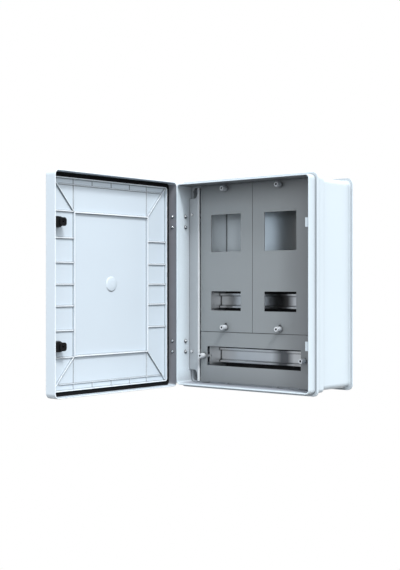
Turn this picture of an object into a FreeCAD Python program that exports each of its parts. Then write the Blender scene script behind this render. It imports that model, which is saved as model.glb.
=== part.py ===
import FreeCAD, Part
import Sketcher
import math
import os
from types import SimpleNamespace

# Wall-hung electric meter box with a hinged door, a metal chassis, two rails and screwed covers.
# The origin is the centre of the back face, X to the right, Z up, and the front faces minus Y.
# "Depth" below is the distance behind the front edge of the body's neck.

SIZES = [
    # outside
    ("cabinet_width", 400), ("cabinet_height", 500), ("body_depth", 177), ("corner_radius", 12),
    ("wall", 3), ("neck_inset", 6), ("neck_length", 24.5), ("ledge_thickness", 6),
    ("step_depth", 55), ("side_inset", 10), ("flange_thickness", 4), ("flange_inset", 3),
    ("flange_flare", 4), ("rim_round", 1.1), ("ledge_round", 1.6), ("fixing_inset_across", 20),
    ("fixing_inset_up", 24), ("fixing_hole_radius", 3.5), ("fixing_boss_radius", 8),
    ("fixing_boss_height", 6),
    # catch lugs moulded on the right wall
    ("lug_depth", 3.6), ("lug_thickness", 3.4), ("lug_reach", 9.5), ("lug_height", 20.6),
    # posts for the chassis and for the uprights
    ("pillar_radius", 7), ("pillar_margin", 24.5), ("pillar_drop", 12.5), ("pilot_radius", 2.4),
    ("pilot_depth", 20), ("post_radius", 6), ("post_margin", 4.5), ("post_drop_top", 65.6),
    ("post_drop_bottom", 71.6),
    # sheet metal inside
    ("sheet", 1.5), ("upright_depth", 46), ("upright_width", 28.4), ("upright_return", 5.5),
    ("notch_width", 24.4), ("notch_height", 27), ("notch_radius", 11), ("assembly_gap", 0.4),
    ("cover_depth", 50.5), ("cover_sheet", 1.3), ("upright_clearance", 3.7), ("cover_gap", 0.9),
    ("seam_gap", 1.7), ("cover_return", 4), ("cover_top_gap", 2), ("seam_lift", 123.7),
    ("window_inner", 35), ("window_outer", 33.5), ("window_height", 90), ("window_drop", 116),
    ("slot_height", 46.4), ("slot_over_seam", 75), ("long_slot_margin", 21),
    ("long_slot_lift", 65.2), ("edge_notch_depth", 2.4), ("edge_notch_margin", 26.5),
    ("edge_notch_end", 76), ("key_slot_rise", 7), ("key_slot_radius", 3.6), ("chassis_margin", 24),
    ("chassis_depth", 122), ("chassis_end_gap", 7), ("cheek_setback", 3.7), ("bar_margin", 6.5),
    ("bar_lip", 8), ("bar_upper_height", 18), ("bar_middle_height", 40), ("top_screw_drop", 7.1),
    ("seam_screw_rise", 11.8), ("side_screw_margin", 11), ("side_ear_height", 24),
    ("ear_margin", 4.9), ("bridge_height", 4.6), ("bridge_length", 4.5), ("cheek_hole_radius", 2.2),
    ("cheek_hole_setback", 5),
    # rails
    ("rail_depth", 94), ("rail_height", 35), ("rail_rise", 7.5), ("rail_web", 25),
    ("rail_sheet", 1), ("rail_end_gap", 1.2), ("rail_bend", 0.7), ("strip_half_height", 36),
    ("strip_sheet", 1), ("support_width", 30), ("support_height", 26), ("support_sheet", 2),
    ("support_margin", 49.5),
    # fasteners
    ("cover_head_radius", 6), ("cover_head_length", 17), ("cover_head_step", 0.8),
    ("cover_shank_radius", 2.5), ("cover_shank_length", 12), ("cover_socket_radius", 2.7),
    ("cover_socket_depth", 11), ("bore_clearance", 0.3), ("nut_radius", 4.5), ("nut_length", 6),
    ("pan_radius", 4.5), ("pan_height", 2.8), ("pan_shank_radius", 2.2), ("pan_shank_length", 14),
    ("small_pan_radius", 3.2), ("small_pan_height", 2), ("small_shank_radius", 1.6),
    ("small_shank_length", 10), ("small_pilot_radius", 1.8),
    # door
    ("door_depth", 31.1), ("rim_overlap", 24.1), ("skirt", 2.6), ("door_plate", 3),
    ("gasket_width", 10), ("gasket_gap", 0.4), ("ring_width", 2.2), ("ring_height", 7),
    ("rib_width", 2.8), ("rib_height", 5.1), ("side_rib_width", 2.2), ("fine_rib_width", 1.5),
    ("fine_rib_height", 2.4), ("panel_shift", -0.35), ("panel_margin", 78.65),
    ("panel_end_margin", 87.5), ("frame_line_margin", 28), ("frame_line_free", 36),
    ("frame_line_hinge", 24.5), ("short_rib_pitch", 61.3), ("side_rib_pitch", 48.5),
    ("side_rib_outer", 102.8), ("side_rib_height", 3.4), ("slant_rib_height", 4.2),
    ("slant_trim", 1.8), ("short_rib_height", 2), ("door_edge_radius", 3), ("dome_radius", 18),
    ("dome_height", 3), ("door_open_angle", 90),
    # hinges
    ("hinge_out", 7), ("hinge_axis_depth", 21), ("hinge_drop", 97.5), ("hinge_half_height", 20),
    ("hinge_leaf", 4), ("hinge_reach", 17.5), ("hinge_screw_reach", 9.5), ("hinge_screw_pitch", 26),
    ("knuckle_radius", 4.5), ("knuckle_half", 7), ("knuckle_gap", 0.35), ("pin_radius", 2),
    ("running_gap", 0.06), ("leaf_play", 0.24), ("hinge_head_radius", 3.8),
    ("hinge_head_height", 2.2), ("hinge_shank_radius", 2), ("dome_nut_radius", 4.2),
    ("door_nut_height", 3), ("body_nut_height", 4.4), ("pad_margin", 1.5),
    # latches
    ("latch_margin", 31), ("latch_drop", 112.8), ("latch_barrel_radius", 9),
    ("latch_flange_radius", 14), ("latch_flange", 2.5), ("latch_nut_radius", 13.5),
    ("latch_nut_height", 5), ("spindle_radius", 6), ("spindle_bore_gap", 0.08), ("cam_gap", 0.4),
    ("cam_thickness", 6), ("cam_half_height", 11.3), ("cam_reach", 20.5), ("cam_corner", 5),
    ("cam_nose_half", 9.5), ("cam_nose_corner", 6), ("cam_nose_height", 4.6), ("cam_edge", 0.8),
    ("cam_square_half", 5.2), ("cam_square_corner", 1.6), ("cam_square_depth", 1.4),
    ("cam_back", 1), ("cam_recess_radius", 2.6), ("cam_recess_depth", 4),
    ("drive_recess_radius", 4), ("drive_recess_depth", 4), ("drive_bar_width", 2.6),
    ("drive_bar_length", 3.6), ("spindle_sunk", 0.5),
]

class Size:
    """A number together with the sheet expression that gives it."""

    def __init__(self, value, text):
        self.value, self.text = float(value), text

    def joined(self, sign, other, value):
        return Size(value, "(%s %s %s)" % (self.text, sign, other.text))

    def __add__(self, other):
        other = as_size(other)
        return self.joined("+", other, self.value + other.value)

    def __sub__(self, other):
        other = as_size(other)
        return self.joined("-", other, self.value - other.value)

    def __mul__(self, other):
        other = as_size(other)
        return self.joined("*", other, self.value * other.value)

    def __truediv__(self, other):
        other = as_size(other)
        return self.joined("/", other, self.value / other.value)

    def __radd__(self, other):
        return as_size(other) + self

    def __rsub__(self, other):
        return as_size(other) - self

    def __rmul__(self, other):
        return as_size(other) * self

    def __neg__(self):
        return as_size(0) - self


def as_size(given):
    if isinstance(given, Size):
        return given
    return Size(given, str(given) if given >= 0 else "(0 - %s)" % -given)


doc = FreeCAD.newDocument("MeterBox")
sheet = doc.addObject("Spreadsheet::Sheet", "Sizes")
for row, (name, value) in enumerate(SIZES, start=1):
    sheet.set("A%d" % row, name)
    sheet.set("B%d" % row, str(value))
    sheet.setAlias("B%d" % row, name)
doc.recompute()
s = SimpleNamespace(**{name: Size(value, "Sizes." + name) for name, value in SIZES})

# Places that several pieces share, written once.
half_w, half_h = s.cabinet_width / 2, s.cabinet_height / 2
neck_w, neck_h = half_w - s.neck_inset, half_h - s.neck_inset
neck_in_w, neck_in_h = neck_w - s.wall, neck_h - s.wall
side_w, side_h = half_w - s.side_inset, half_h - s.side_inset
side_in_w, side_in_h = side_w - s.wall, side_h - s.wall
fix_x, fix_z = half_w - s.fixing_inset_across, half_h - s.fixing_inset_up
cover_back = s.cover_depth + s.cover_sheet
cover_edge = neck_in_w - s.assembly_gap - s.upright_width - s.upright_clearance
cover_top = neck_in_h - s.cover_top_gap
seam_z = s.seam_lift - cover_top
slot_z = seam_z + s.slot_over_seam
long_slot_z = s.long_slot_lift - cover_top
long_slot_half = cover_edge - s.long_slot_margin
chassis_half = cover_edge - s.chassis_margin
bar_back = cover_back + s.sheet
bar_top = side_in_h - s.assembly_gap
bar_half = cover_edge - s.bar_margin
chassis_top = side_in_h - s.chassis_end_gap
pillar_x, pillar_z = chassis_half - s.pillar_margin, chassis_top - s.pillar_drop
post_x = side_in_w - s.post_margin
window_far, window_z = cover_edge - s.window_outer, cover_top - s.window_drop
cover_screw_x = (s.window_inner + window_far) / 2
side_screw_x = cover_edge - s.side_screw_margin
top_screw_z, seam_screw_z = bar_top - s.top_screw_drop, seam_z + s.seam_screw_rise
notch_far = cover_edge - s.edge_notch_margin
support_x = chassis_half - s.support_margin
latch_x, latch_z, hinge_z = half_w - s.latch_margin, half_h - s.latch_drop, half_h - s.hinge_drop
skirt_in_w, skirt_in_h = half_w - s.skirt, half_h - s.skirt
door_out = s.rim_overlap - s.door_depth
door_in = door_out + s.door_plate
hinge_x = -(half_w + s.hinge_out)
cam_front = s.lug_depth + s.lug_thickness + s.cam_gap
rail_back = s.rail_depth + s.rail_rise
strip_front = s.chassis_depth - s.strip_sheet
body_screw_depth = s.hinge_axis_depth + s.hinge_screw_reach
door_screw_depth = s.hinge_axis_depth - s.hinge_screw_reach
SIDES = (-1, 1)
CORNERS = [(a, b) for a in SIDES for b in SIDES]


class Profile:
    """A sketch whose points are held at sheet sizes."""

    def __init__(self, sketch):
        self.sketch = sketch

    def bind(self, constraint, size):
        index = self.sketch.addConstraint(constraint)
        self.sketch.setExpression("Constraints[%d]" % index, size.text)

    def hold(self, kind, geo, pos, size):
        size = as_size(size)
        if size.text == "0":
            axis = -2 if kind == "DistanceX" else -1
            self.sketch.addConstraint(Sketcher.Constraint("PointOnObject", geo, pos, axis))
        else:
            self.bind(Sketcher.Constraint(kind, -1, 1, geo, pos, size.value), size)

    def polygon(self, points):
        at = [FreeCAD.Vector(as_size(a).value, as_size(b).value, 0) for a, b in points]
        first, count = self.sketch.GeometryCount, len(at)
        for i in range(count):
            self.sketch.addGeometry(Part.LineSegment(at[i], at[(i + 1) % count]), False)
        for i in range(count):
            here, after = first + i, first + (i + 1) % count
            self.sketch.addConstraint(Sketcher.Constraint("Coincident", here, 2, after, 1))
        for i, (a, b) in enumerate(points):
            self.hold("DistanceX", first + i, 1, a)
            self.hold("DistanceY", first + i, 1, b)
        return self

    def box(self, x_one, x_two, y_low, y_high):
        x_low, x_high = sorted((as_size(x_one), as_size(x_two)), key=lambda size: size.value)
        return self.polygon([(x_low, y_low), (x_high, y_low), (x_high, y_high), (x_low, y_high)])

    def circle(self, x, y, radius):
        centre = FreeCAD.Vector(as_size(x).value, as_size(y).value, 0)
        circle = Part.Circle(centre, FreeCAD.Vector(0, 0, 1), radius.value)
        index = self.sketch.addGeometry(circle, False)
        self.hold("DistanceX", index, 3, x)
        self.hold("DistanceY", index, 3, y)
        self.bind(Sketcher.Constraint("Radius", index, radius.value), radius)
        return self

    def rounded(self, half_x, half_y, radius):
        """A rectangle about the sketch's origin with rounded corners."""
        a, b, r = half_x.value, half_y.value, radius.value
        vec, add = FreeCAD.Vector, self.sketch.addConstraint
        ends = [((r - a, -b), (a - r, -b)), ((a, r - b), (a, b - r)),
                ((a - r, b), (r - a, b)), ((-a, b - r), (-a, r - b))]
        lines = [self.sketch.addGeometry(Part.LineSegment(vec(*p, 0), vec(*q, 0)), False)
                 for p, q in ends]
        corners = [(a - r, r - b, -90), (a - r, b - r, 0), (r - a, b - r, 90), (r - a, r - b, 180)]
        arcs = []
        for x, y, start in corners:
            circle = Part.Circle(vec(x, y, 0), vec(0, 0, 1), r)
            arc = Part.ArcOfCircle(circle, math.radians(start), math.radians(start + 90))
            arcs.append(self.sketch.addGeometry(arc, False))
        for i in range(4):
            add(Sketcher.Constraint("Tangent", lines[i], 2, arcs[i], 1))
            add(Sketcher.Constraint("Tangent", arcs[i], 2, lines[(i + 1) % 4], 1))
        for line, kind in zip(lines, ("Horizontal", "Vertical", "Horizontal", "Vertical")):
            add(Sketcher.Constraint(kind, line))
        for arc in arcs[1:]:
            add(Sketcher.Constraint("Equal", arcs[0], arc))
        self.bind(Sketcher.Constraint("Radius", arcs[0], r), radius)
        self.hold("DistanceY", lines[0], 1, -half_y)
        self.hold("DistanceX", lines[1], 1, half_x)
        self.hold("DistanceY", lines[2], 1, half_y)
        self.hold("DistanceX", lines[3], 1, -half_x)
        return self


class Piece:
    """A body with sketches on its own origin planes; lengths and places stay tied to the sheet."""

    def __init__(self, label):
        self.body = doc.addObject("PartDesign::Body", label)
        self.body.Label = label

    def sketch(self, role, offset=0):
        plane = next(f for f in self.body.Origin.OriginFeatures if f.Role == role)
        sketch = self.body.newObject("Sketcher::SketchObject", self.body.Name + "Sketch")
        sketch.AttachmentSupport = [(plane, "")]
        sketch.MapMode = "FlatFace"
        sketch.setExpression("AttachmentOffset.Base.z", as_size(offset).text)
        return Profile(sketch)

    def facing(self, depth):
        """A sketch seen from the front, at a depth behind the neck's front edge."""
        return self.sketch("XZ_Plane", s.body_depth - depth)

    def feature(self, kind, profile, length, turned, both):
        made = self.body.newObject("PartDesign::" + kind, self.body.Name + kind)
        made.Profile = profile.sketch
        made.setExpression("Length", as_size(length).text)
        made.Reversed = turned
        made.Midplane = both
        profile.sketch.Visibility = False
        self.body.Tip = made
        return made

    def pad(self, profile, length, turned=False):
        return self.feature("Pad", profile, length, turned, False)

    def pocket(self, profile, length, turned=False, both=False):
        doc.recompute()
        before = self.body.Shape.Volume
        made = self.feature("Pocket", profile, length, turned, both)
        doc.recompute()
        if not self.body.Shape.Volume < before - 0.01:
            raise RuntimeError("a pocket of %s cuts nothing" % self.body.Label)
        return made

    def spin(self, profile):
        made = self.body.newObject("PartDesign::Revolution", self.body.Name + "Revolution")
        made.Profile = profile.sketch
        made.ReferenceAxis = (profile.sketch, ["V_Axis"])
        made.Angle = 360
        self.body.Tip = made
        return made

    def fillet(self, base, radius, chosen):
        """Round the edges of a feature for which chosen(edge) is true."""
        doc.recompute()
        names = ["Edge%d" % (i + 1) for i, e in enumerate(base.Shape.Edges) if chosen(e)]
        made = self.body.newObject("PartDesign::Fillet", self.body.Name + "Fillet")
        made.Base = (base, names)
        made.setExpression("Radius", as_size(radius).text)
        self.body.Tip = made
        return made


def flat_at(edge, level):
    box = edge.BoundBox
    return abs(box.YMin - level.value) < 0.01 and abs(box.YMax - level.value) < 0.01


def copies(label, template, places, turn=None):
    """One node with a copy of a template at each place (x, depth, z)."""
    shapes = []
    for x, depth, z in places:
        shape = template.body.Shape.copy()
        if turn:
            shape.rotate(FreeCAD.Vector(0, 0, 0), FreeCAD.Vector(*turn[0]), turn[1])
        y = as_size(depth) - s.body_depth
        shape.translate(FreeCAD.Vector(as_size(x).value, y.value, as_size(z).value))
        shapes.append(shape)
    made = doc.addObject("Part::Feature", label)
    made.Label = label
    made.Shape = Part.makeCompound(shapes)
    made.Placement = FreeCAD.Placement()
    return made


def fastener(label, steps):
    """A round fastener about Z: steps are (radius, length) from the head's end down."""
    piece = Piece(label)
    points, level = [(0, 0)], as_size(0)
    for radius, length in steps:
        points.append((radius, level))
        level = level - length
        points.append((radius, level))
    points.append((0, level))
    piece.spin(piece.sketch("XZ_Plane").polygon(points))
    return piece


# Body moulding: a neck that enters the door, a ledge the door stops on, and a flared back flange
body = Piece("enclosure_body")
shoulder = s.step_depth + s.wall
body.pad(body.facing(shoulder).rounded(neck_w, neck_h, s.corner_radius - 2), shoulder)
ledge = body.pad(body.facing(s.neck_length + s.ledge_thickness).rounded(
    half_w, half_h, s.corner_radius), s.ledge_thickness)


def ledge_outline(edge):
    """The ledge's long outer edges, front and back; the corners follow them."""
    box = edge.BoundBox
    level = any(flat_at(edge, depth - s.body_depth)
                for depth in (s.neck_length, s.neck_length + s.ledge_thickness))
    return level and max(box.XMax, -box.XMin) > half_w.value - 0.01


body.fillet(ledge, s.ledge_round, ledge_outline)
body.pad(body.facing(s.body_depth).rounded(side_w, side_h, s.corner_radius),
         s.body_depth - s.step_depth)
flange = body.pad(body.facing(s.body_depth).rounded(
    half_w - s.flange_inset, half_h - s.flange_inset, s.corner_radius + 2), s.flange_thickness)


def root_of_flange(edge):
    box = edge.BoundBox
    return flat_at(edge, -s.flange_thickness) and box.XMax < side_w.value + 0.01 \
        and box.XMin > -side_w.value - 0.01 and box.ZMax < side_h.value + 0.01 \
        and box.ZMin > -side_h.value - 0.01


body.fillet(flange, s.flange_flare, root_of_flange)
pad_back = s.hinge_axis_depth + s.hinge_reach + s.pad_margin
pads = body.facing(pad_back)
for sign in SIDES:
    middle, reach = sign * hinge_z, s.hinge_half_height + s.pad_margin
    pads.box(-half_w, s.wall / 2 - neck_w, middle - reach, middle + reach)
body.pad(pads, pad_back - s.neck_length)
body.pocket(body.facing(0).rounded(neck_in_w, neck_in_h, s.corner_radius - 2 - s.wall), s.step_depth)
body.pocket(body.facing(s.step_depth).rounded(side_in_w, side_in_h, s.corner_radius - s.wall),
            s.body_depth - s.wall - s.step_depth)
lugs = body.facing(s.lug_depth + s.lug_thickness)
for sign in SIDES:
    middle = sign * latch_z
    lugs.box(neck_in_w - s.lug_reach, neck_w - s.wall / 2, middle - s.lug_height / 2,
             middle + s.lug_height / 2)
body.pad(lugs, s.lug_thickness)
in_back_wall = s.body_depth - s.wall / 2
pillars = body.facing(in_back_wall)
for a, b in CORNERS:
    pillars.circle(a * pillar_x, b * pillar_z, s.pillar_radius)
body.pad(pillars, in_back_wall - s.chassis_depth - s.sheet)
post_heights = (bar_top - s.post_drop_top, s.post_drop_bottom - bar_top)
post_places = [(a * post_x, z) for a in SIDES for z in post_heights]
posts = body.facing(in_back_wall)
for x, z in post_places:
    posts.circle(x, z, s.post_radius)
body.pad(posts, in_back_wall - s.upright_depth - s.sheet)
bosses = body.facing(in_back_wall)
for a, b in CORNERS:
    bosses.circle(a * fix_x, b * fix_z, s.fixing_boss_radius)
body.pad(bosses, s.fixing_boss_height + s.wall / 2)
fixings = body.facing(s.body_depth - s.wall - s.fixing_boss_height)
for a, b in CORNERS:
    fixings.circle(a * fix_x, b * fix_z, s.fixing_hole_radius)
body.pocket(fixings, s.wall + s.fixing_boss_height)
pilots = body.facing(s.chassis_depth + s.sheet)
for a, b in CORNERS:
    pilots.circle(a * pillar_x, b * pillar_z, s.pilot_radius)
body.pocket(pilots, s.pilot_depth)
pilots = body.facing(s.upright_depth + s.sheet)
for x, z in post_places:
    pilots.circle(x, z, s.small_pilot_radius)
body.pocket(pilots, s.pilot_depth)


def hinge_holes(piece, depth, length):
    """Screw holes along X through the left wall, above and below each hinge's middle."""
    holes = piece.sketch("YZ_Plane", -half_w)
    for sign in SIDES:
        for side in SIDES:
            holes.circle(depth - s.body_depth, sign * hinge_z + side * s.hinge_screw_pitch / 2,
                         s.hinge_shank_radius + s.bore_clearance / 2)
    piece.pocket(holes, length, turned=True)


hinge_holes(body, body_screw_depth, s.neck_inset + s.wall)
body.fillet(body.body.Tip, s.rim_round, lambda edge: flat_at(edge, -s.body_depth))

# Uprights: narrow folded strips at both sides, notched at the corners
screw_hole = s.bore_clearance + s.small_shank_radius


def is_notch_corner(edge, x, z):
    box = edge.BoundBox
    return abs(box.XMin - x.value) < 0.01 and abs(box.XMax - x.value) < 0.01 \
        and abs(abs(box.ZMin) - z.value) < 0.01 and box.ZLength < 0.01


for label, side in (("left_upright", -1), ("right_upright", 1)):
    piece = Piece(label)
    outer = side * (neck_in_w - s.assembly_gap)
    inner = side * (neck_in_w - s.assembly_gap - s.upright_width)
    fold = side * (neck_in_w - s.assembly_gap - s.upright_width + s.sheet)
    piece.pad(piece.facing(s.upright_depth + s.sheet).box(outer, inner, -bar_top, bar_top),
              s.sheet)
    piece.pad(piece.facing(s.upright_depth + s.upright_return).box(
        fold, inner, -bar_top, bar_top), s.upright_return)
    notches = piece.facing(s.upright_depth)
    notch_x, notch_z = outer - side * s.notch_width, bar_top - s.notch_height
    notches.box(outer, notch_x, notch_z, bar_top)
    notches.box(outer, notch_x, -bar_top, -notch_z)
    cut = piece.pocket(notches, s.sheet)
    piece.fillet(cut, s.notch_radius, lambda edge: is_notch_corner(edge, notch_x, notch_z))
    holes = piece.facing(s.upright_depth)
    for z in post_heights:
        holes.circle(side * post_x, z, screw_hole)
    piece.pocket(holes, s.sheet)

# Chassis: a tray of folded sheet whose cheeks carry ears for the bars and the lower cover
chassis = Piece("chassis")
cheek_out, cheek_front = chassis_half + s.sheet, bar_back + s.cheek_setback
front_y, back_y = cheek_front - s.body_depth, s.chassis_depth - s.body_depth
chassis.pad(chassis.sketch("XY_Plane", -chassis_top).polygon([
    (-cheek_out, front_y), (-chassis_half, front_y), (-chassis_half, back_y),
    (chassis_half, back_y), (chassis_half, front_y), (cheek_out, front_y),
    (cheek_out, back_y + s.sheet), (-cheek_out, back_y + s.sheet)]), 2 * chassis_top)
seam_ear, side_ear, bridge = s.bar_middle_height / 2, s.side_ear_height / 2, s.bridge_height / 2
bar_ears = ((bar_top - s.bar_upper_height, chassis_top), (seam_z - seam_ear, seam_z + seam_ear))
side_band = (long_slot_z - bridge, long_slot_z + bridge)
ears, roots, side_ears = (chassis.facing(depth) for depth in (
    bar_back + s.sheet, cheek_front + s.sheet, bar_back))
for side in SIDES:
    for low, high in bar_ears:
        ears.box(side * chassis_half, side * bar_half, low, high)
        roots.box(side * chassis_half, side * cheek_out, low, high)
    roots.box(side * chassis_half, side * cheek_out, *side_band)
    bridge_end = chassis_half + s.bridge_length
    side_ears.polygon([(side * x, z) for x, z in (
        (chassis_half, side_band[0]), (bridge_end, side_band[0]),
        (bridge_end, long_slot_z - side_ear), (cover_edge - s.ear_margin, long_slot_z - side_ear),
        (cover_edge - s.ear_margin, long_slot_z + side_ear), (bridge_end, long_slot_z + side_ear),
        (bridge_end, side_band[1]), (chassis_half, side_band[1]))])
chassis.pad(ears, s.sheet)
chassis.pad(side_ears, s.sheet)
chassis.pad(roots, s.cheek_setback + s.sheet)
shank_hole = s.cover_shank_radius + s.bore_clearance
holes = chassis.facing(cover_back)
for side in SIDES:
    holes.circle(side * side_screw_x, long_slot_z, shank_hole)
chassis.pocket(holes, s.sheet)
holes = chassis.facing(s.chassis_depth)
for a, b in CORNERS:
    holes.circle(a * pillar_x, b * pillar_z, s.pan_shank_radius + s.bore_clearance)
chassis.pocket(holes, s.sheet)
cheek_holes = chassis.sketch("YZ_Plane")
cheek_holes.circle(front_y + s.cheek_hole_setback, long_slot_z, s.cheek_hole_radius)
chassis.pocket(cheek_holes, 3 * chassis_half, both=True)

# Cross bars: channels behind the covers' top edge and behind the seam
BARS = (("crossbar_upper", bar_top - s.bar_upper_height / 2, s.bar_upper_height, top_screw_z),
        ("crossbar_middle", seam_z, s.bar_middle_height, seam_screw_z))
for label, middle, height, screw_up in BARS:
    piece = Piece(label)
    low, high = middle - height / 2, middle + height / 2
    y_face, y_web = cover_back - s.body_depth, bar_back - s.body_depth
    y_lip, half = y_face + s.bar_lip, chassis_half - s.assembly_gap
    piece.pad(piece.sketch("YZ_Plane", -half).polygon([
        (y_face, low), (y_lip, low), (y_lip, low + s.sheet), (y_web, low + s.sheet),
        (y_web, high - s.sheet), (y_lip, high - s.sheet), (y_lip, high), (y_face, high)]), 2 * half)
    piece.pad(piece.facing(bar_back).box(-bar_half, bar_half, low, high), s.sheet)
    holes = piece.facing(cover_back)
    for side in SIDES:
        holes.circle(side * cover_screw_x, screw_up, shank_hole)
    piece.pocket(holes, s.sheet)

# Covers: two upper ones with a meter window and a slot each, and one across the bottom
gap, seam = s.cover_gap / 2, s.seam_gap / 2
for label, side in (("upper_left_cover", -1), ("upper_right_cover", 1)):
    piece = Piece(label)
    low, high = seam_z + seam, cover_top
    piece.pad(piece.facing(cover_back).box(side * cover_edge, side * gap, low, high), s.cover_sheet)
    piece.pad(piece.facing(s.cover_depth + s.cover_return).box(
        side * cover_edge, side * (cover_edge - s.cover_sheet), low, bar_top), s.cover_return)
    cuts = piece.facing(s.cover_depth)
    for middle, height in ((window_z, s.window_height), (slot_z, s.slot_height)):
        cuts.box(side * s.window_inner, side * window_far, middle - height / 2,
                 middle + height / 2)
    across = side * cover_screw_x
    cuts.circle(across, top_screw_z, shank_hole)
    cuts.circle(across, seam_screw_z, shank_hole)
    piece.pocket(cuts, s.cover_sheet)
    # the screw's head hides most of this wider part of the key hole
    piece.pocket(piece.facing(s.cover_depth).circle(
        across, seam_screw_z + s.key_slot_rise, s.key_slot_radius), s.cover_sheet)

lower = Piece("lower_cover")
low, high = -cover_top, seam_z - seam
lower.pad(lower.facing(cover_back).box(-cover_edge, cover_edge, low, high), s.cover_sheet)
folds = lower.facing(s.cover_depth + s.cover_return)
for side in SIDES:
    folds.box(side * cover_edge, side * (cover_edge - s.cover_sheet), -bar_top, high)
lower.pad(folds, s.cover_return)
cuts = lower.facing(s.cover_depth)
cuts.box(-long_slot_half, long_slot_half, long_slot_z - s.slot_height / 2,
         long_slot_z + s.slot_height / 2)
for side in SIDES:
    cuts.circle(side * side_screw_x, long_slot_z, shank_hole)
lower.pocket(cuts, s.cover_sheet)
dips = lower.facing(s.cover_depth)
tab = s.edge_notch_end - 2 * s.edge_notch_depth
for x_one, x_two in ((-notch_far, -s.edge_notch_end), (-tab, tab), (s.edge_notch_end, notch_far)):
    dips.box(x_one, x_two, low - 1, low + s.edge_notch_depth)
lower.pocket(dips, s.cover_sheet)

# Rails, with a dark strip behind each on the chassis and two brackets between
RAILS = (("upper", slot_z), ("lower", long_slot_z))


def is_bend(edge, middle, half):
    """Whether an edge runs along a rail anywhere but at its two outer rims."""
    box = edge.BoundBox
    return box.XLength > 1 and abs(box.ZMin - middle.value) < half.value - 0.01


for name, middle in RAILS:
    piece = Piece("din_rail_" + name)
    front, back = s.rail_depth - s.body_depth, rail_back - s.body_depth
    lip, floor = front + s.rail_sheet, back - s.rail_sheet
    web_in, web_out = s.rail_web / 2, s.rail_web / 2 + s.rail_sheet
    half, reach = s.rail_height / 2, chassis_half - s.rail_end_gap
    bent = piece.pad(piece.sketch("YZ_Plane", -reach).polygon([
        (front, middle - half), (front, middle - web_in), (floor, middle - web_in),
        (floor, middle + web_in), (front, middle + web_in), (front, middle + half),
        (lip, middle + half), (lip, middle + web_out), (back, middle + web_out),
        (back, middle - web_out), (lip, middle - web_out), (lip, middle - half)]), 2 * reach)
    piece.fillet(bent, s.rail_bend, lambda edge: is_bend(edge, middle, half))
    piece = Piece("rail_backing_" + name)
    piece.pad(piece.facing(s.chassis_depth).box(
        -chassis_half, chassis_half, middle - s.strip_half_height,
        middle + s.strip_half_height), s.strip_sheet)
bracket = Piece("SupportTemplate")
reach, wide = strip_front - rail_back, s.support_width / 2
thin = s.support_sheet
bracket.pad(bracket.sketch("XY_Plane", -s.support_height / 2).polygon([
    (-wide, 0), (wide, 0), (wide, reach), (wide - thin, reach), (wide - thin, thin),
    (thin - wide, thin), (thin - wide, reach), (-wide, reach)]), s.support_height)
doc.recompute()
for name, middle in RAILS:
    copies("rail_supports_" + name, bracket,
           [(a * support_x, rail_back, middle) for a in SIDES])

# Door: a shallow tray with a raised ring and ribs inside
door = Piece("door_shell")
tray = door.pad(door.facing(s.rim_overlap).rounded(half_w, half_h, s.corner_radius), s.door_depth)
door.fillet(tray, s.door_edge_radius, lambda edge: flat_at(edge, door_out - s.body_depth))
door.pocket(door.facing(s.rim_overlap).rounded(skirt_in_w, skirt_in_h, s.corner_radius - s.skirt),
            s.door_depth - s.door_plate, turned=True)
in_plate = s.door_plate / 2
ring_w, ring_h = skirt_in_w - s.gasket_width, skirt_in_h - s.gasket_width
play = s.assembly_gap / 2


def raise_on_plate(height, draw):
    profile = door.facing(door_in + height)
    draw(profile)
    door.pad(profile, height + in_plate)


def draw_ring(profile):
    profile.rounded(ring_w - play, ring_h - play, s.corner_radius / 2)
    profile.rounded(ring_w - s.ring_width, ring_h - s.ring_width, s.corner_radius / 3)


raise_on_plate(s.ring_height, draw_ring)
ring_in_w, ring_in_h = ring_w - s.ring_width / 2, ring_h - s.ring_width / 2
panel_half = half_w - s.panel_margin
left, right = s.panel_shift - panel_half, s.panel_shift + panel_half
high, rib = half_h - s.panel_end_margin, s.rib_width
line_z, side_rib = half_h - s.frame_line_margin, s.side_rib_width / 2


def draw_panel(profile):
    profile.box(left, right, -high, high)
    profile.box(left + rib, right - rib, rib - high, high - rib)


def draw_side_ribs(profile):
    for side, edge in ((-1, left + rib / 2), (1, right - rib / 2)):
        heights = [as_size(0), s.side_rib_pitch, -s.side_rib_pitch, s.side_rib_outer,
                   -s.side_rib_outer]
        if side > 0:
            heights += [high, -high]
        for up in heights:
            profile.box(edge, side * ring_in_w, up - side_rib, up + side_rib)


def draw_frame_lines(profile):
    for b in SIDES:
        middle, thin = b * line_z, s.fine_rib_width / 2
        profile.box(s.frame_line_hinge - half_w, half_w - s.frame_line_free, middle - thin,
                    middle + thin)


def draw_short_ribs(profile):
    thin = s.fine_rib_width / 2
    columns = [(left + rib / 2, high - rib / 2), (right - rib / 2, high - rib / 2)]
    columns += [(s.panel_shift + step * s.short_rib_pitch, line_z) for step in (-1, 0, 1)]
    for b in SIDES:
        for x, start in columns:
            ends = sorted((b * start, b * ring_in_h), key=lambda size: size.value)
            profile.box(x - thin, x + thin, *ends)


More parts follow.
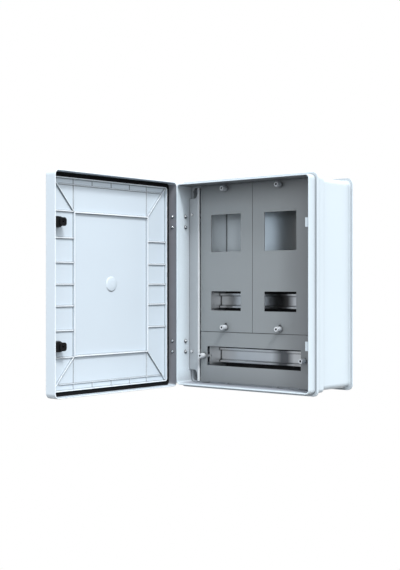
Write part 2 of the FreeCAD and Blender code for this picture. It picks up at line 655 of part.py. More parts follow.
raise_on_plate(s.rib_height, draw_panel)
raise_on_plate(s.side_rib_height, draw_side_ribs)
for a, b in CORNERS:
    x_in = (right if a > 0 else left) - a * rib / 2
    z_in, slope = b * (high - rib / 2), side_rib
    x_end, z_end = a * (ring_in_w - s.slant_trim), b * (ring_in_h - s.slant_trim)
    corner = [(x_in, z_in - slope), (x_end, z_end - slope), (x_end, z_end + slope),
              (x_in, z_in + slope)]
    if a < 0:
        corner.reverse()
    raise_on_plate(s.slant_rib_height, lambda profile: profile.polygon(corner))
raise_on_plate(s.fine_rib_height, draw_frame_lines)
raise_on_plate(s.short_rib_height, draw_short_ribs)
y_plate = door_in - s.body_depth
door.spin(door.sketch("XY_Plane").polygon([
    (0, y_plate - in_plate), (s.dome_radius, y_plate - in_plate), (s.dome_radius, y_plate),
    (s.dome_radius * 0.85, y_plate + s.dome_height * 0.6),
    (s.dome_radius * 0.5, y_plate + s.dome_height * 0.93), (0, y_plate + s.dome_height)]))
holes = door.facing(door_in)
for b in SIDES:
    holes.circle(latch_x, b * latch_z, s.latch_barrel_radius + s.bore_clearance)
door.pocket(holes, s.door_plate, turned=True)
hinge_holes(door, door_screw_depth, s.skirt)
door.fillet(door.body.Tip, s.rim_round, lambda edge: flat_at(edge, s.rim_overlap - s.body_depth))

gasket = Piece("door_gasket")
band = gasket.facing(-s.gasket_gap).rounded(skirt_in_w, skirt_in_h, s.corner_radius - s.skirt)
band.rounded(ring_w, ring_h, s.corner_radius / 2 + play)
gasket.pad(band, -s.gasket_gap - door_in)


# Hinges: two leaves each, in their own frame with the pin along Z and the seat at plus X
def hinge_leaf(label, sign):
    piece = Piece(label)
    near, far = sign * s.leaf_play, sign * s.hinge_reach
    y_ends = (near, far) if sign > 0 else (far, near)
    seat, bottom, knuckle = s.hinge_out, -s.hinge_half_height, s.knuckle_half + s.knuckle_gap
    plate = piece.sketch("XY_Plane", bottom)
    piece.pad(plate.box(seat - s.hinge_leaf, seat, *y_ends), 2 * s.hinge_half_height)
    outer = s.hinge_half_height - knuckle
    middle, ends = [(-s.knuckle_half, 2 * s.knuckle_half)], [(bottom, outer), (knuckle, outer)]
    ends_clear = s.hinge_half_height - s.knuckle_half
    if sign > 0:
        own, other = middle, [(bottom, ends_clear), (s.knuckle_half, ends_clear)]
    else:
        own, other = ends, [(-knuckle, 2 * knuckle)]
    for start, length in other:
        piece.pocket(piece.sketch("XY_Plane", start).circle(0, 0, s.knuckle_radius + s.knuckle_gap),
                     length, turned=True)
    root_y = (near, s.knuckle_radius) if sign > 0 else (-s.knuckle_radius, near)
    for start, length in own:
        piece.pad(piece.sketch("XY_Plane", start).circle(0, 0, s.knuckle_radius), length)
        piece.pad(piece.sketch("XY_Plane", start).box(0, seat - s.hinge_leaf / 2, *root_y), length)
    piece.pocket(piece.sketch("XY_Plane", bottom).circle(0, 0, s.pin_radius + s.running_gap),
                 2 * s.hinge_half_height, turned=True)
    holes = piece.sketch("YZ_Plane", seat - s.hinge_leaf)
    for side in SIDES:
        holes.circle(sign * s.hinge_screw_reach, side * s.hinge_screw_pitch / 2,
                     s.hinge_shank_radius + s.bore_clearance / 2)
    piece.pocket(holes, s.hinge_leaf, turned=True)
    return piece


body_leaf, door_leaf = hinge_leaf("BodyLeafTemplate", 1), hinge_leaf("DoorLeafTemplate", -1)
pin = Piece("PinTemplate")
pin.pad(pin.sketch("XY_Plane", -s.hinge_half_height).circle(0, 0, s.pin_radius),
        2 * s.hinge_half_height)
pin.pad(pin.sketch("XY_Plane", s.hinge_half_height).circle(0, 0, s.pin_radius * 1.5),
        s.pin_radius / 2)


def hinge_screw(label, grip, nut_top):
    """Head outside, shank, dome nut inside; the head's seat is at the origin."""
    piece = Piece(label)
    head, dome = s.hinge_head_radius, s.dome_nut_radius
    piece.spin(piece.sketch("XZ_Plane").polygon([
        (0, s.hinge_head_height), (head * 0.7, s.hinge_head_height),
        (head, s.hinge_head_height * 0.45), (head, 0), (s.hinge_shank_radius, 0),
        (s.hinge_shank_radius, -grip), (dome, -grip), (dome, -grip - nut_top * 0.4),
        (dome * 0.8, -grip - nut_top * 0.75), (dome * 0.4, -grip - nut_top * 0.97),
        (0, -grip - nut_top)]))
    return piece


body_screw = hinge_screw("BodyHingeScrewTemplate", s.hinge_leaf + s.neck_inset + s.wall,
                         s.body_nut_height)
door_screw = hinge_screw("DoorHingeScrewTemplate", s.hinge_leaf + s.skirt, s.door_nut_height)

# Fasteners
cover_screw = fastener("CoverScrewTemplate", [
    (s.cover_head_radius - s.cover_head_step, s.cover_head_step),
    (s.cover_head_radius, s.cover_head_length - s.cover_head_step),
    (s.cover_shank_radius, s.cover_shank_length)])
cover_screw.pocket(cover_screw.sketch("XY_Plane").circle(0, 0, s.cover_socket_radius),
                   s.cover_socket_depth)
pan_screw = fastener("PanTemplate", [(s.pan_radius, s.pan_height),
                                     (s.pan_shank_radius, s.pan_shank_length)])
small_screw = fastener("SmallTemplate", [(s.small_pan_radius, s.small_pan_height),
                                         (s.small_shank_radius, s.small_shank_length)])
nut = Piece("NutTemplate")
nut.pad(nut.sketch("XY_Plane").circle(0, 0, s.nut_radius)
        .circle(0, 0, s.cover_shank_radius + s.bore_clearance / 2), s.nut_length, turned=True)

# Latches: a housing through the door with a nut inside, a spindle and a turning cam
housing = Piece("HousingTemplate")
bore = s.spindle_radius + s.spindle_bore_gap
through = cam_front - s.cam_gap - door_out
housing.pad(housing.sketch("XY_Plane").circle(0, 0, s.latch_barrel_radius).circle(0, 0, bore),
            through, turned=True)
housing.pad(housing.sketch("XY_Plane").circle(0, 0, s.latch_flange_radius).circle(0, 0, bore),
            s.latch_flange)
lock_nut = Piece("LockNutTemplate")
flat = s.latch_nut_radius
hexagon = [(flat, 0), (flat / 2, flat * 0.866), (-flat / 2, flat * 0.866), (-flat, 0),
           (-flat / 2, -flat * 0.866), (flat / 2, -flat * 0.866)]
lock_nut.pad(lock_nut.sketch("XY_Plane").polygon(hexagon)
             .circle(0, 0, s.latch_barrel_radius + s.bore_clearance / 2), s.latch_nut_height,
             turned=True)
spindle = Piece("SpindleTemplate")
sunk = s.spindle_sunk
spindle.pad(spindle.sketch("XY_Plane", -sunk).circle(0, 0, s.spindle_radius),
            s.latch_flange + through + s.cam_gap - sunk, turned=True)
spindle.pocket(spindle.sketch("XY_Plane", -sunk).circle(0, 0, s.drive_recess_radius),
               s.drive_recess_depth)
key = spindle.sketch("XY_Plane", -sunk - s.drive_recess_depth)
key.box(-s.drive_bar_length / 2, s.drive_bar_length / 2, -s.drive_bar_width / 2,
        s.drive_bar_width / 2)
spindle.pad(key, s.drive_recess_depth - sunk)
cam = Piece("CamTemplate")
plate = cam.pad(cam.sketch("XY_Plane").box(-s.cam_back, s.cam_reach, -s.cam_half_height,
                                           s.cam_half_height), s.cam_thickness, turned=True)
upright_edges = cam.fillet(plate, s.cam_corner,
                           lambda e: abs(e.BoundBox.ZLength - s.cam_thickness.value) < 0.01)
cam.fillet(upright_edges, s.cam_edge,
           lambda e: abs(e.BoundBox.ZMax + s.cam_thickness.value) < 0.01)
nose = s.cam_thickness + s.cam_nose_height
cam.pad(cam.sketch("XY_Plane").rounded(s.cam_nose_half, s.cam_nose_half, s.cam_nose_corner),
        nose, turned=True)
cam.pocket(cam.sketch("XY_Plane", -nose).rounded(
    s.cam_square_half, s.cam_square_half, s.cam_square_corner), s.cam_square_depth, turned=True)
recess = cam.pocket(cam.sketch("XY_Plane", s.cam_square_depth - nose).circle(
    0, 0, s.cam_recess_radius), s.cam_recess_depth, turned=True)
cam.fillet(recess, s.cam_edge, lambda e: e.BoundBox.ZLength < 0.01 and
           abs(e.BoundBox.ZMin + nose.value) < 0.01 and
           max(e.BoundBox.XMax, -e.BoundBox.XMin, e.BoundBox.YMax, -e.BoundBox.YMin)
           > s.cam_square_half.value + 0.01)
doc.recompute()

# Placed copies
INWARD = ((1, 0, 0), 90)
SIDEWAYS = ((0, 1, 0), -90)
screw_places = [(a * cover_screw_x, z) for z in (top_screw_z, seam_screw_z)
                for a in SIDES]
screw_places += [(a * side_screw_x, long_slot_z) for a in SIDES]
copies("cover_screws", cover_screw,
       [(x, s.cover_depth - s.cover_head_length, z) for x, z in screw_places], INWARD)
copies("clinch_nuts", nut, [(x, bar_back, z) for x, z in screw_places], INWARD)
copies("chassis_screws", pan_screw, [(a * pillar_x, s.chassis_depth - s.pan_height,
                                      b * pillar_z) for a, b in CORNERS], INWARD)
copies("upright_screws", small_screw,
       [(x, s.upright_depth - s.small_pan_height, z) for x, z in post_places], INWARD)
hinge_at = [(hinge_x, s.hinge_axis_depth, b * hinge_z) for b in SIDES]
copies("hinge_body_leaves", body_leaf, hinge_at)
copies("hinge_pins", pin, hinge_at)
copies("hinge_door_leaves", door_leaf, hinge_at)
for label, template, depth in (("hinge_body_screws", body_screw, body_screw_depth),
                               ("hinge_door_screws", door_screw, door_screw_depth)):
    copies(label, template, [(-half_w - s.hinge_leaf, depth,
                              b * hinge_z + side * s.hinge_screw_pitch / 2)
                             for b in SIDES for side in SIDES], SIDEWAYS)
latch_at = [(latch_x, b * latch_z) for b in SIDES]
copies("latch_housings", housing, [(x, door_out, z) for x, z in latch_at], INWARD)
copies("latch_nuts", lock_nut, [(x, door_in, z) for x, z in latch_at], INWARD)
for name, (x, z) in zip(("lower", "upper"), latch_at):
    copies("latch_%s_spindle" % name, spindle, [(x, door_out - s.latch_flange, z)], INWARD)
    copies("latch_%s_cam" % name, cam, [(x, cam_front, z)], INWARD)

# The door stands open: everything on it is turned about the hinge pins
DOOR_NODES = ["door_shell", "door_gasket", "hinge_door_leaves", "hinge_door_screws",
              "latch_housings", "latch_nuts", "latch_upper_spindle", "latch_upper_cam",
              "latch_lower_spindle", "latch_lower_cam"]
pivot = FreeCAD.Vector(hinge_x.value, (s.hinge_axis_depth - s.body_depth).value, 0)
swing = FreeCAD.Rotation(FreeCAD.Vector(0, 0, 1), -s.door_open_angle.value)
opened = FreeCAD.Placement(pivot, swing) * FreeCAD.Placement(-pivot, FreeCAD.Rotation())
for name in DOOR_NODES:
    doc.getObjectsByLabel(name)[0].Placement = opened

NODES = ["enclosure_body", "left_upright", "right_upright", "upright_screws", "chassis",
         "chassis_screws", "crossbar_upper", "crossbar_middle", "upper_left_cover",
         "upper_right_cover", "lower_cover", "cover_screws", "clinch_nuts", "din_rail_upper",
         "din_rail_lower", "rail_backing_upper", "rail_backing_lower", "rail_supports_upper",
         "rail_supports_lower", "hinge_body_leaves", "hinge_pins", "hinge_body_screws"] + DOOR_NODES

doc.recompute()
for item in doc.Objects:
    if "Invalid" in item.State or "Error" in item.State:
        raise RuntimeError("%s failed: %s" % (item.Label, item.State))
shapes = {}
for name in NODES:
    shape = doc.getObjectsByLabel(name)[0].Shape
    if shape.isNull() or not shape.isValid():
        raise RuntimeError(name + " has no valid shape")
    shapes[name] = shape
os.makedirs("parts", exist_ok=True)
for name, shape in shapes.items():
    shape.exportStep("parts/%s.step" % name)
    print(name, len(shape.Solids), "solids", round(shape.Volume / 1000, 2), "cm3")
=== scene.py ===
import math
import bpy
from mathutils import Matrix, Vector

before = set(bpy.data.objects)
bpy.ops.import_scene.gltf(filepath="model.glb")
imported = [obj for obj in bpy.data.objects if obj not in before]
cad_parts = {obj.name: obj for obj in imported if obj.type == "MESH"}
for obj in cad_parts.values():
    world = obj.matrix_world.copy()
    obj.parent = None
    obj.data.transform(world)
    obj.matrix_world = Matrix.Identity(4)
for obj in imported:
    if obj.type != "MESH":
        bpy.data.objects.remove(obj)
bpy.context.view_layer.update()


class Wire:  # a shader socket that can be used in plain arithmetic
    def __init__(self, finish, socket):
        self.finish, self.socket = finish, socket

    def beside(self, name):  # another output of the same node
        return Wire(self.finish, self.socket.node.outputs[name])

    def sum(self, operation, first, second):
        return self.finish.node("ShaderNodeMath", {"operation": operation}, {0: first, 1: second})

    def __add__(self, other):
        return self.sum("ADD", self, other)

    def __radd__(self, other):
        return self.sum("ADD", other, self)

    def __sub__(self, other):
        return self.sum("SUBTRACT", self, other)

    def __rsub__(self, other):
        return self.sum("SUBTRACT", other, self)

    def __mul__(self, other):
        return self.sum("MULTIPLY", self, other)

    def __rmul__(self, other):
        return self.sum("MULTIPLY", other, self)


class Finish:  # one material, or the world, and its nodes
    creaseSamples = 8
    edgeSamples = 6
    edgeTurn = 0.2  # how far a rounded edge has turned where it is fully an edge
    plainDetail = 2
    fineDetail = 3

    def __init__(self, owner):
        self.material = bpy.data.materials.new(owner) if isinstance(owner, str) else owner
        self.material.use_nodes = True
        self.tree = self.material.node_tree
        self.tree.nodes.clear()

    def node(self, kind, settings, values, out=0):
        made = self.tree.nodes.new(kind)
        for key, value in settings.items():
            setattr(made, key, value)
        for key, value in values.items():
            entry = made.inputs[key]
            if isinstance(value, Wire):
                self.tree.links.new(value.socket, entry)
            elif entry.type == "RGBA":
                entry.default_value = (*value, 1)
            else:
                entry.default_value = value
        return Wire(self, made.outputs[out]) if made.outputs else None

    def place(self):  # a point on the piece, which moves with it
        return self.node("ShaderNodeTexCoord", {}, {}, out="Object")

    def cloud(self, scale, detail=plainDetail):
        return self.node("ShaderNodeTexNoise", {}, {
            "Vector": self.place(), "Scale": scale, "Detail": detail})

    def mix(self, first, second, share):
        return self.node("ShaderNodeMix", {"data_type": "RGBA"},
                         {0: share, 6: first, 7: second}, out=2)

    def larger(self, first, second):
        return self.node("ShaderNodeMath", {"operation": "MAXIMUM"}, {0: first, 1: second})

    def seenDirectly(self):  # 1 for the camera's rays and for mirrored ones
        rays = self.node("ShaderNodeLightPath", {}, {}, out="Is Camera Ray")
        return self.larger(rays, rays.beside("Is Glossy Ray"))

    # painted shade: the base colour goes dark where surfaces meet, from the renderer's ambient
    # occlusion
    def paintedOcclusionShade(self, colour, dark, distance):  # darker where surfaces meet
        near = self.node("ShaderNodeAmbientOcclusion", {"samples": self.creaseSamples},
                         {"Distance": distance}, out="AO")
        return self.mix(dark, colour, near * near)

    def step(self, value, low, high):  # 0 up to low, 1 from high on
        return self.node("ShaderNodeMapRange", {}, {0: value, 1: low, 2: high, 3: 0.0, 4: 1.0})

    def part(self, vector, axis):
        return self.node("ShaderNodeSeparateXYZ", {}, {0: vector}).beside(axis)

    def facing(self, axis, low, high):  # 1 on the faces turned along an axis
        normal = self.node("ShaderNodeTexCoord", {}, {}, out="Normal")
        return self.step(self.part(normal, axis), low, high)

    def at(self, axis):  # where a point of the piece lies on an axis
        return self.part(self.place(), axis)

    def softEdge(self, radius):  # light catches a small round along every edge
        return self.node("ShaderNodeBevel", {"samples": self.edgeSamples}, {"Radius": radius})

    def onEdge(self, radius):  # 1 on a sharp edge, 0 on a flat face
        flat = self.node("ShaderNodeNewGeometry", {}, {}, out="True Normal")
        alike = self.node("ShaderNodeVectorMath", {"operation": "DOT_PRODUCT"},
                          {0: self.softEdge(radius), 1: flat}, out="Value")
        return self.step(1.0 - alike, 0.0, self.edgeTurn)

    def bump(self, height, strength, distance, normal=None):
        under = {"Normal": normal} if normal else {}
        return self.node("ShaderNodeBump", {}, {
            "Height": height, "Strength": strength, "Distance": distance, **under})

    def surface(self, values):
        shader = self.node("ShaderNodeBsdfPrincipled", {}, values)
        self.node("ShaderNodeOutputMaterial", {}, {"Surface": shader})
        return self.material


# white moulded plastic, with painted shade near other surfaces and in creases and a painted
# highlight along its edges
whiteLook = {
    "colour": (0.622, 0.708, 0.785),
    "shade": (0.592, 0.674, 0.748),
    "driftScale": 7,
    "nearColour": (0.32, 0.35, 0.38),
    "nearReach": 0.035,
    "crease": (0.17, 0.19, 0.21),
    "creaseReach": 0.0025,
    "edge": 0.0006,
    "edgeColour": (0.93, 0.96, 0.98),
    "gleam": 0.45,
    "grainScale": 1400,
    "grainHeight": 0.00004,
    "grainStrength": 0.25,
    "roughness": 0.28,
    "roughnessSpan": 0.12,
    "roughnessScale": 30,
}


def whiteMoulding(name, look, shading=None):
    f = Finish(name)
    colour = f.mix(look["colour"], look["shade"], f.cloud(look["driftScale"]))
    # painted shade near other surfaces, from the renderer's ambient occlusion
    colour = f.paintedOcclusionShade(colour, look["nearColour"], look["nearReach"])
    # painted highlight along the edges
    colour = f.mix(colour, look["edgeColour"], look["gleam"] * f.onEdge(look["edge"]))
    if shading:
        colour = shading(f, colour, look)
    grain = f.cloud(look["grainScale"])
    wear = f.cloud(look["roughnessScale"], f.fineDetail)
    # the base colour also gets painted shade in its creases
    return f.surface({
        "Base Color": f.paintedOcclusionShade(colour, look["crease"], look["creaseReach"]),
        "Roughness": look["roughness"] + look["roughnessSpan"] * wear,
        "Normal": f.bump(grain, look["grainStrength"], look["grainHeight"],
                         f.softEdge(look["edge"]))})


# the cabinet's body: painted shade under its ceiling and on its floor behind the front lip
bodyLook = {
    **whiteLook,
    "colour": (0.648, 0.74, 0.805),
    "shade": (0.62, 0.71, 0.775),
    "ceiling": (0.22, 0.225, 0.235),
    "ceilingTurn": (-0.9, -0.6),
    "ceilingZone": (0.1, 0.102),
    # floor: painted shade on the cabinet's floor behind the front lip
    "floor": (0.30, 0.32, 0.37),
    "floorTurn": (0.6, 0.9),
    "floorZone": (-0.2, -0.19),
    "behindLip": (-0.172, -0.145),
}


def bodyShading(f, colour, look):
    # painted shade under the ceiling
    ceiling = 1.0 - f.facing("Z", *look["ceilingTurn"])
    colour = f.mix(colour, look["ceiling"], ceiling * f.step(f.at("Z"), *look["ceilingZone"]))
    # painted shade on the floor behind the front lip
    low = 1.0 - f.step(f.at("Z"), *look["floorZone"])
    floor = f.facing("Z", *look["floorTurn"]) * low * f.step(f.at("Y"), *look["behindLip"])
    return f.mix(colour, look["floor"], floor)


# the door: painted shade under its ribs and on the skirt beside the hinges, painted highlight on
# the ribs' tops
doorLook = {
    **whiteLook,
    "nearColour": (0.60, 0.68, 0.75),
    "edge": 0.0012,
    "gleam": 0.9,
    "ribShade": (0.30, 0.34, 0.38),
    "ribTurn": (-0.5, -0.2),
    "ribZone": (0.222, 0.228),
    "skirtShade": (0.22, 0.225, 0.25),
    "skirtTurn": (-0.8, -0.5),
    "skirtZone": (-0.170, -0.168),
    "ribTop": (0.84, 0.9, 0.95),
    "ribTopTurn": (0.8, 0.9),
    "ribTopZone": (-0.2289, -0.2286),
}


def doorShading(f, colour, look):
    inner, outer = look["ribZone"]
    height = f.at("Z")
    inside = (1.0 - f.step(height, inner, outer)) * f.step(height, -outer, -inner)
    # painted shade under the ribs
    underRib = inside * (1.0 - f.facing("Z", *look["ribTurn"]))
    colour = f.mix(colour, look["ribShade"], underRib)
    # painted shade on the skirt beside the hinges
    skirt = f.step(f.at("Y"), *look["skirtZone"]) * (1.0 - f.facing("Y", *look["skirtTurn"]))
    colour = f.mix(colour, look["skirtShade"], skirt)
    # painted highlight on the ribs' tops
    onRib = f.step(f.at("X"), *look["ribTopZone"]) * f.facing("X", *look["ribTopTurn"])
    return f.mix(colour, look["ribTop"], onRib)


# the covers' white screws, with painted shade in their sockets and creases
screwLook = {
    **whiteLook,
    "colour": (0.68, 0.71, 0.74),
    "shade": (0.62, 0.66, 0.70),
    "crease": (0.02, 0.02, 0.02),
    "creaseReach": 0.006,
}

# grey painted sheet: painted shade towards the right, near other surfaces, in creases and on all
# faces not turned to the front
sheetLook = {
    "colour": (0.252, 0.274, 0.286),
    "shade": (0.232, 0.253, 0.266),
    "driftScale": 4,
    "nearColour": (0.13, 0.14, 0.148),
    "nearReach": 0.06,
    "crease": (0.04, 0.045, 0.05),
    "creaseReach": 0.004,
    "farColour": (0.18, 0.19, 0.20),
    "farZone": (0.07, 0.175),
    "backColour": (0.05, 0.055, 0.06),
    "backTurn": (-0.8, -0.7),
    "edge": 0.0006,
    "peelScale": 420,
    "peelHeight": 0.00012,
    "peelStrength": 0.3,
    "roughness": 0.31,
    "roughnessSpan": 0.1,
    "roughnessScale": 60,
}


def paintedSheet(name, look, shading=None):
    f = Finish(name)
    colour = f.mix(look["colour"], look["shade"], f.cloud(look["driftScale"]))
    # painted shade near other surfaces and in creases
    colour = f.paintedOcclusionShade(colour, look["nearColour"], look["nearReach"])
    colour = f.paintedOcclusionShade(colour, look["crease"], look["creaseReach"])
    # painted shade towards the right and on all faces not turned to the front
    colour = f.mix(colour, look["farColour"], f.step(f.at("X"), *look["farZone"]))
    colour = f.mix(colour, look["backColour"], f.facing("Y", *look["backTurn"]))
    if shading:
        colour = shading(f, colour, look)
    peel = f.cloud(look["peelScale"])
    wear = f.cloud(look["roughnessScale"], f.fineDetail)
    return f.surface({
        "Base Color": colour,
        "Roughness": look["roughness"] + look["roughnessSpan"] * wear,
        "Normal": f.bump(peel, look["peelStrength"], look["peelHeight"],
                         f.softEdge(look["edge"]))})


# the uprights: a painted highlight on the fold beside the covers, where it catches the light, and
# painted shade towards the right
uprightLook = {
    **sheetLook,
    "colour": (0.40, 0.435, 0.467),
    "shade": (0.375, 0.408, 0.437),
    "nearColour": (0.30, 0.33, 0.355),
    "creaseReach": 0.001,
    "farColour": (0.12, 0.127, 0.133),
    "foldColour": (0.66, 0.7, 0.73),
    "foldReach": (0.0013, 0.0021),
}


def uprightShading(f, colour, look):
    foldAt = min(abs(v.co.x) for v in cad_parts["left_upright"].data.vertices)
    across = f.node("ShaderNodeMath", {"operation": "ABSOLUTE"}, {0: f.at("X")})
    away = f.step(across, *(foldAt + reach for reach in look["foldReach"]))
    # painted highlight on the fold
    return f.mix(look["foldColour"], colour, away)


# bare zinc, with painted shade in its creases
zincLook = {
    "colour": (0.66, 0.68, 0.70),
    "shade": (0.52, 0.54, 0.57),
    "driftScale": 60,
    "crease": (0.05, 0.05, 0.055),
    "creaseReach": 0.004,
    "edge": 0.0005,
    "grainHeight": 0.00005,
    "grainStrength": 0.02,
    "roughness": 0.14,
    "roughnessSpan": 0.08,
    "metallic": 1.0,
}


def zincPlate(name, look, shading=None):
    f = Finish(name)
    drift = f.cloud(look["driftScale"], f.fineDetail)
    colour = f.mix(look["colour"], look["shade"], drift)
    # painted shade in creases
    colour = f.paintedOcclusionShade(colour, look["crease"], look["creaseReach"])
    if shading:
        colour = shading(f, colour, look)
    return f.surface({
        "Base Color": colour,
        "Metallic": look["metallic"],
        "Roughness": look["roughness"] + look["roughnessSpan"] * drift,
        "Normal": f.bump(drift, look["grainStrength"], look["grainHeight"],
                         f.softEdge(look["edge"]))})


# the chassis: painted shade behind the right cover
chassisLook = {
    **zincLook,
    "colour": (0.68, 0.73, 0.77),
    "shade": (0.62, 0.67, 0.705),
    "driftScale": 18,
    "roughness": 0.30,
    "metallic": 0.88,
    "farColour": (0.16, 0.165, 0.175),
    "farZone": (0.025, 0.085),
}


def chassisShading(f, colour, look):
    # painted shade behind the right cover
    return f.mix(colour, look["farColour"], f.step(f.at("X"), *look["farZone"]))


# the rails: a band of painted shade behind the right slot
railLook = {
    **zincLook,
    "colour": (0.57, 0.575, 0.59),
    "shade": (0.51, 0.515, 0.525),
    "driftScale": 25,
    "roughness": 0.26,
    "bandColour": (0.12, 0.122, 0.128),
    "bandStart": (0.02, 0.048),
    "bandEnd": (0.066, 0.084),
}


def railShading(f, colour, look):
    # painted shade in a band behind the right slot
    band = f.step(f.at("X"), *look["bandStart"]) * (1.0 - f.step(f.at("X"), *look["bandEnd"]))
    return f.mix(colour, look["bandColour"], band)


# the uprights' screws
smallLook = {
    **zincLook,
    "colour": (0.9, 0.93, 0.95),
    "shade": (0.8, 0.83, 0.85),
    "metallic": 0.4,
}

# the domed nuts of the hinges: painted light on their upper side and painted shade on their lower
# side
domeLook = {
    **zincLook,
    "colour": (0.85, 0.88, 0.9),
    "shade": (0.7, 0.73, 0.76),
    "below": (0.03, 0.04, 0.05),
    "belowTurn": (-0.45, 0.25),
}


def domeShading(f, colour, look):
    # painted light above and painted shade below
    return f.mix(look["below"], colour, f.facing("Z", *look["belowTurn"]))


# the door's gasket
gasketLook = {
    "colour": (0.006, 0.006, 0.007),
    "fleck": (0.010, 0.010, 0.011),
    "cellScale": 900,
    "cellHeight": 0.0002,
    "cellStrength": 0.4,
    "roughness": 0.7,
    "roughnessSpan": 0.2,
    "shine": 0.1,
}


def blackRubber(name, look):
    f = Finish(name)
    cells = f.cloud(look["cellScale"], f.fineDetail)
    return f.surface({
        "Base Color": f.mix(look["colour"], look["fleck"], cells),
        "Roughness": look["roughness"] + look["roughnessSpan"] * cells,
        "Specular IOR Level": look["shine"],
        "Normal": f.bump(cells, look["cellStrength"], look["cellHeight"])})


# the latches
latchLook = {
    "colour": (0.009, 0.009, 0.01),
    "fleck": (0.010, 0.010, 0.011),
    "fleckScale": 40,
    "edge": 0.0006,
    "grainScale": 1100,
    "grainHeight": 0.00006,
    "grainStrength": 0.3,
    "roughness": 0.35,
    "roughnessSpan": 0.12,
    "shine": 0.12,
}

# the strips behind the rails
stripLook = {
    **latchLook,
    "colour": (0.03, 0.031, 0.033),
    "roughness": 0.3,
}


def blackPlastic(name, look):
    f = Finish(name)
    grain = f.cloud(look["grainScale"])
    return f.surface({
        "Base Color": f.mix(look["colour"], look["fleck"], f.cloud(look["fleckScale"])),
        "Roughness": look["roughness"] + look["roughnessSpan"] * grain,
        "Specular IOR Level": look["shine"],
        "Normal": f.bump(grain, look["grainStrength"], look["grainHeight"],
                         f.softEdge(look["edge"]))})


print("finishes")
bodyWhite = whiteMoulding("bodyWhite", bodyLook, bodyShading)
doorWhite = whiteMoulding("doorWhite", doorLook, doorShading)
hingeWhite = whiteMoulding("hingeWhite", whiteLook)
screwWhite = whiteMoulding("screwWhite", screwLook)
coverGrey = paintedSheet("coverGrey", sheetLook)
uprightGrey = paintedSheet("uprightGrey", uprightLook, uprightShading)
chassisZinc = zincPlate("chassisZinc", chassisLook, chassisShading)
railZinc = zincPlate("railZinc", railLook, railShading)
screwZinc = zincPlate("screwZinc", zincLook)
smallZinc = zincPlate("smallZinc", smallLook)
domeZinc = zincPlate("domeZinc", domeLook, domeShading)
gasketBlack = blackRubber("gasketBlack", gasketLook)
latchBlack = blackPlastic("latchBlack", latchLook)
stripBlack = blackPlastic("stripBlack", stripLook)

wears = {
    bodyWhite: ["enclosure_body"],
    doorWhite: ["door_shell"],
    hingeWhite: ["hinge_body_leaves", "hinge_door_leaves"],
    screwWhite: ["cover_screws"],
    coverGrey: ["upper_left_cover", "upper_right_cover", "lower_cover",
                "crossbar_upper", "crossbar_middle"],
    uprightGrey: ["left_upright", "right_upright"],
    chassisZinc: ["chassis"],
    railZinc: ["din_rail_upper", "din_rail_lower"],
    screwZinc: ["chassis_screws", "clinch_nuts", "hinge_pins",
                "rail_supports_upper", "rail_supports_lower"],
    smallZinc: ["upright_screws"],
    domeZinc: ["hinge_body_screws", "hinge_door_screws"],
    gasketBlack: ["door_gasket"],
    latchBlack: ["latch_housings", "latch_nuts", "latch_upper_spindle", "latch_upper_cam",
                 "latch_lower_spindle", "latch_lower_cam"],
    stripBlack: ["rail_backing_upper", "rail_backing_lower"],
}
for material, pieces in wears.items():
    for piece in pieces:
        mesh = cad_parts[piece].data
        mesh.materials.clear()
        mesh.materials.append(material)

print("camera")
view = {
    "place": (1.504, -2.113, 0.0),
    "look": (-0.6424, 0.7664, 0.0),
    "lens": 66.79,
    "sensor": 36,
    "shiftY": -0.0014,
    "farthest": 60,
}
camera = bpy.data.objects.new("camera", bpy.data.cameras.new("camera"))
bpy.context.scene.collection.objects.link(camera)
camera.location = view["place"]
camera.rotation_euler = Vector(view["look"]).to_track_quat("-Z", "Y").to_euler()
camera.data.lens = view["lens"]
camera.data.sensor_width = view["sensor"]
camera.data.shift_y = view["shiftY"]
camera.data.clip_end = view["farthest"]
bpy.context.scene.camera = camera
bpy.context.scene.view_settings.view_transform = "Standard"

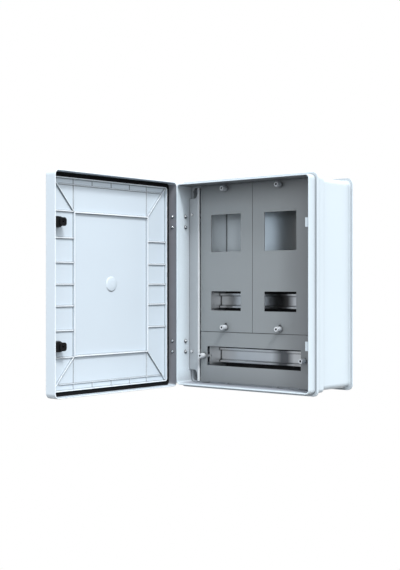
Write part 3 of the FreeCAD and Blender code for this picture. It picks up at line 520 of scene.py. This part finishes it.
print("studio")
keyLight = {
    "comesFrom": (0.577, -0.275, 0.769),
    "power": 2.45,
    "angle": 11,
}
key = bpy.data.objects.new("key", bpy.data.lights.new("key", "SUN"))
bpy.context.scene.collection.objects.link(key)
key.rotation_euler = Vector(keyLight["comesFrom"]).to_track_quat("Z", "Y").to_euler()
key.data.energy = keyLight["power"]
key.data.angle = math.radians(keyLight["angle"])

# brighter from above and from the right, dim from below, white behind the object
roomLook = {
    "colour": (0.97, 0.985, 1.0),
    "level": 0.84,
    "fromAbove": 0.5,
    "fromRight": 0.45,
    "fromFront": 0.70,
    "least": 0.32,
    "backdrop": (1.0, 1.0, 1.0),
    "backdropLevel": 1.0,
}


def roomWorld(look):
    world = bpy.data.worlds.new("room")
    bpy.context.scene.world = world
    f = Finish(world)
    direction = f.node("ShaderNodeTexCoord", {}, {}, out="Generated")
    level = (look["level"] + look["fromAbove"] * f.part(direction, "Z")
             + look["fromRight"] * f.part(direction, "X")
             - look["fromFront"] * f.part(direction, "Y"))
    lit = f.node("ShaderNodeBackground", {}, {
        "Color": look["colour"], "Strength": f.larger(level, look["least"])})
    white = f.node("ShaderNodeBackground", {}, {
        "Color": look["backdrop"], "Strength": look["backdropLevel"]})
    either = f.node("ShaderNodeMixShader", {}, {0: f.seenDirectly(), 1: lit, 2: white})
    f.node("ShaderNodeOutputWorld", {}, {"Surface": either})


roomWorld(roomLook)

# a plain floor, pale to the eye and dim as a light
floorLook = {
    "height": -1.25,
    "size": 24,
    "colour": (0.12, 0.12, 0.12),
    "glow": (1.0, 1.0, 1.0),
    "glowLevel": 1.0,
}


def paleFloor(look):
    f = Finish("floorWhite")
    matt = f.node("ShaderNodeBsdfDiffuse", {}, {"Color": look["colour"]})
    glow = f.node("ShaderNodeEmission", {}, {"Color": look["glow"], "Strength": look["glowLevel"]})
    both = f.node("ShaderNodeMixShader", {}, {0: f.seenDirectly(), 1: matt, 2: glow})
    f.node("ShaderNodeOutputMaterial", {}, {"Surface": both})
    half, z = look["size"] / 2, look["height"]
    mesh = bpy.data.meshes.new("floor")
    mesh.from_pydata([(-half, -half, z), (half, -half, z), (half, half, z), (-half, half, z)],
                     [], [(0, 1, 2, 3)])
    floor = bpy.data.objects.new("floor", mesh)
    bpy.context.scene.collection.objects.link(floor)
    floor.data.materials.append(f.material)


paleFloor(floorLook)
